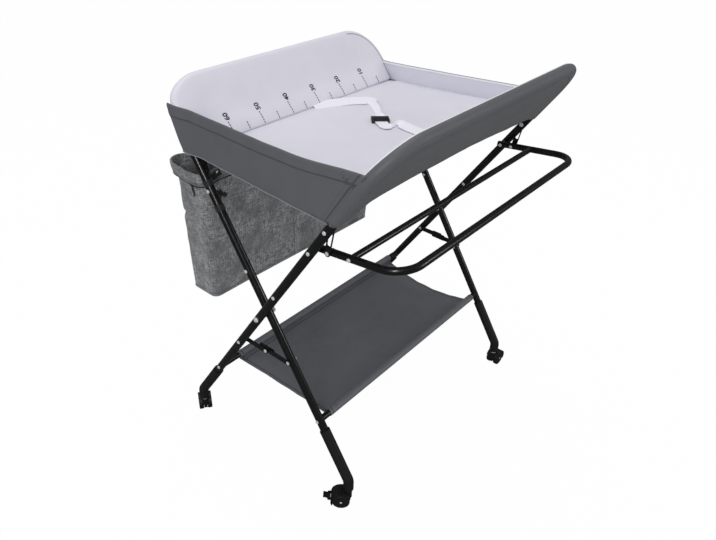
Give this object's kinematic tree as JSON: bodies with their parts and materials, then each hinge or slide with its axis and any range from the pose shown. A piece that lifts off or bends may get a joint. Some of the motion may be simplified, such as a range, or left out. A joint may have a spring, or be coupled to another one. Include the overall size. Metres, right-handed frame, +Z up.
{
  "type": "folding changing table",
  "caption": "Folding changing table on casters: crossed tube frames, padded tray with ruler and belt, fold-up rack for a bath tub, sling shelf and hanging side bag.",
  "frame": {"origin": "centre of the bounding box, on the floor", "axes": "+Z up, X along the table, the user stands on the -Y side and the ruler wall is at +Y"},
  "size_m": [0.7966, 0.7034, 0.9858],
  "materials": {
    "black_tube": "gloss black powder coat",
    "brace_steel": "black paint",
    "bright_rivets": "zinc plated",
    "foot_plastic": "satin black",
    "caster_plastic": "black",
    "wheel_plastic": "black",
    "dark_cloth": "dark grey coated cloth",
    "light_cloth": "smooth wipeable cloth",
    "heather_cloth": "heather grey linen",
    "board_plastic": "matt",
    "white_webbing": "woven",
    "black_webbing": "woven"
  },
  "bodies": {
    "back_frame": {"back_rail": "black_tube", "back_leg_left": "black_tube", "back_leg_right": "black_tube", "back_leg_foot_left": "foot_plastic", "back_leg_foot_right": "foot_plastic", "front_stretcher": "black_tube", "back_frame_fasteners": "bright_rivets", "crossing_bolts": "bright_rivets", "crossing_washers": "caster_plastic", "front_caster_stems": "bright_rivets", "back_panel": "light_cloth", "bag_shell": "heather_cloth", "bag_board": "board_plastic", "bag_straps": "black_webbing", "bag_snaps": "bright_rivets"},
    "front_frame": {"front_rail": "black_tube", "front_leg_left": "black_tube", "front_leg_right": "black_tube", "front_leg_foot_left": "foot_plastic", "front_leg_foot_right": "foot_plastic", "back_stretcher": "black_tube", "front_frame_fasteners": "bright_rivets", "back_caster_stems": "bright_rivets", "front_panel": "dark_cloth"},
    "tray": {"tray_base": "light_cloth", "end_panel_left": "dark_cloth", "end_panel_right": "dark_cloth", "shelf_sling": "dark_cloth", "belt_strap_back": "white_webbing", "belt_strap_front": "white_webbing", "buckle_socket": "caster_plastic"},
    "buckle_half": {"buckle_tongue": "caster_plastic"},
    "rack": {"rack_frame": "black_tube", "rack_crossbar": "black_tube", "rack_rivets": "bright_rivets"},
    "brace_back_left": {"back_brace_left": "brace_steel"},
    "brace_front_left": {"front_brace_left": "brace_steel", "brace_rivets_left": "bright_rivets"},
    "catch_left": {"brace_catch_left": "brace_steel"},
    "stay_left": {"rack_stay_left": "brace_steel"},
    "brace_back_right": {"back_brace_right": "brace_steel"},
    "brace_front_right": {"front_brace_right": "brace_steel", "brace_rivets_right": "bright_rivets"},
    "catch_right": {"brace_catch_right": "brace_steel"},
    "stay_right": {"rack_stay_right": "brace_steel"},
    "caster_front_left": {"caster_hood_front_left": "caster_plastic", "caster_axle_front_left": "bright_rivets"},
    "wheels_front_left": {"caster_wheels_front_left": "wheel_plastic"},
    "brake_front_left": {"brake_lever_front_left": "caster_plastic"},
    "caster_back_left": {"caster_hood_back_left": "caster_plastic", "caster_axle_back_left": "bright_rivets"},
    "wheels_back_left": {"caster_wheels_back_left": "wheel_plastic"},
    "brake_back_left": {"brake_lever_back_left": "caster_plastic"},
    "caster_front_right": {"caster_hood_front_right": "caster_plastic", "caster_axle_front_right": "bright_rivets"},
    "wheels_front_right": {"caster_wheels_front_right": "wheel_plastic"},
    "caster_back_right": {"caster_hood_back_right": "caster_plastic", "caster_axle_back_right": "bright_rivets"},
    "wheels_back_right": {"caster_wheels_back_right": "wheel_plastic"}
  },
  "joints": [
    {"name": "frame_fold", "type": "hinge", "parent": "back_frame", "child": "front_frame", "pos_m": [0, 0.02819, 0.47], "axis": [-1, 0, 0], "range_deg": [0, 52]},
    {"name": "tray_fold", "type": "hinge", "parent": "back_frame", "child": "tray", "pos_m": [0, 0.02819, 0.47], "axis": [-1, 0, 0], "range_deg": [0, 26], "deforming": ["tray_base", "end_panel_left", "end_panel_right", "shelf_sling", "belt_strap_back", "belt_strap_front"]},
    {"name": "buckle_release", "type": "slide", "parent": "tray", "child": "buckle_half", "axis": [-0.7071, -0.7071, 0], "range_m": [0, 0.018]},
    {"name": "rack_lift", "type": "hinge", "parent": "front_frame", "child": "rack", "pos_m": [0, -0.13724, 0.719], "axis": [-1, 0, 0], "range_deg": [0, 36]},
    {"name": "back_brace_left_fold", "type": "hinge", "parent": "back_frame", "child": "brace_back_left", "pos_m": [0, -0.0429, 0.363], "axis": [1, 0, 0], "range_deg": [0, 51]},
    {"name": "front_brace_left_fold", "type": "hinge", "parent": "front_frame", "child": "brace_front_left", "pos_m": [0, 0.09928, 0.363], "axis": [-1, 0, 0], "range_deg": [0, 51]},
    {"name": "catch_left_lift", "type": "hinge", "parent": "brace_back_left", "child": "catch_left", "pos_m": [0, 0.01219, 0.363], "axis": [1, 0, 0], "range_deg": [0, 35]},
    {"name": "stay_left_turn", "type": "hinge", "parent": "rack", "child": "stay_left", "pos_m": [0, -0.16801, 0.72278], "axis": [1, 0, 0], "range_deg": [0, 50]},
    {"name": "back_brace_right_fold", "type": "hinge", "parent": "back_frame", "child": "brace_back_right", "pos_m": [0, -0.0429, 0.363], "axis": [1, 0, 0], "range_deg": [0, 51]},
    {"name": "front_brace_right_fold", "type": "hinge", "parent": "front_frame", "child": "brace_front_right", "pos_m": [0, 0.09928, 0.363], "axis": [-1, 0, 0], "range_deg": [0, 51]},
    {"name": "catch_right_lift", "type": "hinge", "parent": "brace_back_right", "child": "catch_right", "pos_m": [0, 0.01219, 0.363], "axis": [1, 0, 0], "range_deg": [0, 35]},
    {"name": "stay_right_turn", "type": "hinge", "parent": "rack", "child": "stay_right", "pos_m": [0, -0.16801, 0.72278], "axis": [1, 0, 0], "range_deg": [0, 50]},
    {"name": "caster_front_left_swivel", "type": "hinge", "parent": "back_frame", "child": "caster_front_left", "pos_m": [-0.35, -0.2276, 0.045], "axis": [0, 0, 1], "continuous": true},
    {"name": "wheels_front_left_roll", "type": "hinge", "parent": "caster_front_left", "child": "wheels_front_left", "pos_m": [-0.36047, -0.2142, 0.022], "axis": [-0.788, -0.6157, 0], "continuous": true},
    {"name": "brake_front_left_press", "type": "hinge", "parent": "caster_front_left", "child": "brake_front_left", "pos_m": [-0.37918, -0.19025, 0.026], "axis": [-0.788, -0.6157, 0], "range_deg": [0, 15]},
    {"name": "caster_back_left_swivel", "type": "hinge", "parent": "front_frame", "child": "caster_back_left", "pos_m": [-0.38, 0.28399, 0.045], "axis": [0, 0, 1], "continuous": true},
    {"name": "wheels_back_left_roll", "type": "hinge", "parent": "caster_back_left", "child": "wheels_back_left", "pos_m": [-0.37049, 0.29808, 0.022], "axis": [-0.829, 0.5592, 0], "continuous": true},
    {"name": "brake_back_left_press", "type": "hinge", "parent": "caster_back_left", "child": "brake_back_left", "pos_m": [-0.35349, 0.32328, 0.026], "axis": [-0.829, 0.5592, 0], "range_deg": [0, 15]},
    {"name": "caster_front_right_swivel", "type": "hinge", "parent": "back_frame", "child": "caster_front_right", "pos_m": [0.35, -0.2276, 0.045], "axis": [0, 0, 1], "continuous": true},
    {"name": "wheels_front_right_roll", "type": "hinge", "parent": "caster_front_right", "child": "wheels_front_right", "pos_m": [0.367, -0.2276, 0.022], "axis": [0, 1, 0], "continuous": true},
    {"name": "caster_back_right_swivel", "type": "hinge", "parent": "front_frame", "child": "caster_back_right", "pos_m": [0.38, 0.28399, 0.045], "axis": [0, 0, 1], "continuous": true},
    {"name": "wheels_back_right_roll", "type": "hinge", "parent": "caster_back_right", "child": "wheels_back_right", "pos_m": [0.37049, 0.29808, 0.022], "axis": [-0.829, -0.5592, 0], "continuous": true}
  ],
  "couplings": [
    {"joint": "tray_fold", "follows": "frame_fold", "ratio": 0.5},
    {"joint": "back_brace_left_fold", "follows": "frame_fold", "ratio": 0.96486},
    {"joint": "front_brace_left_fold", "follows": "frame_fold", "ratio": 0.96486},
    {"joint": "stay_left_turn", "follows": "rack_lift", "ratio": 1.3836},
    {"joint": "back_brace_right_fold", "follows": "frame_fold", "ratio": 0.96486},
    {"joint": "front_brace_right_fold", "follows": "frame_fold", "ratio": 0.96486},
    {"joint": "stay_right_turn", "follows": "rack_lift", "ratio": 1.3836}
  ]
}
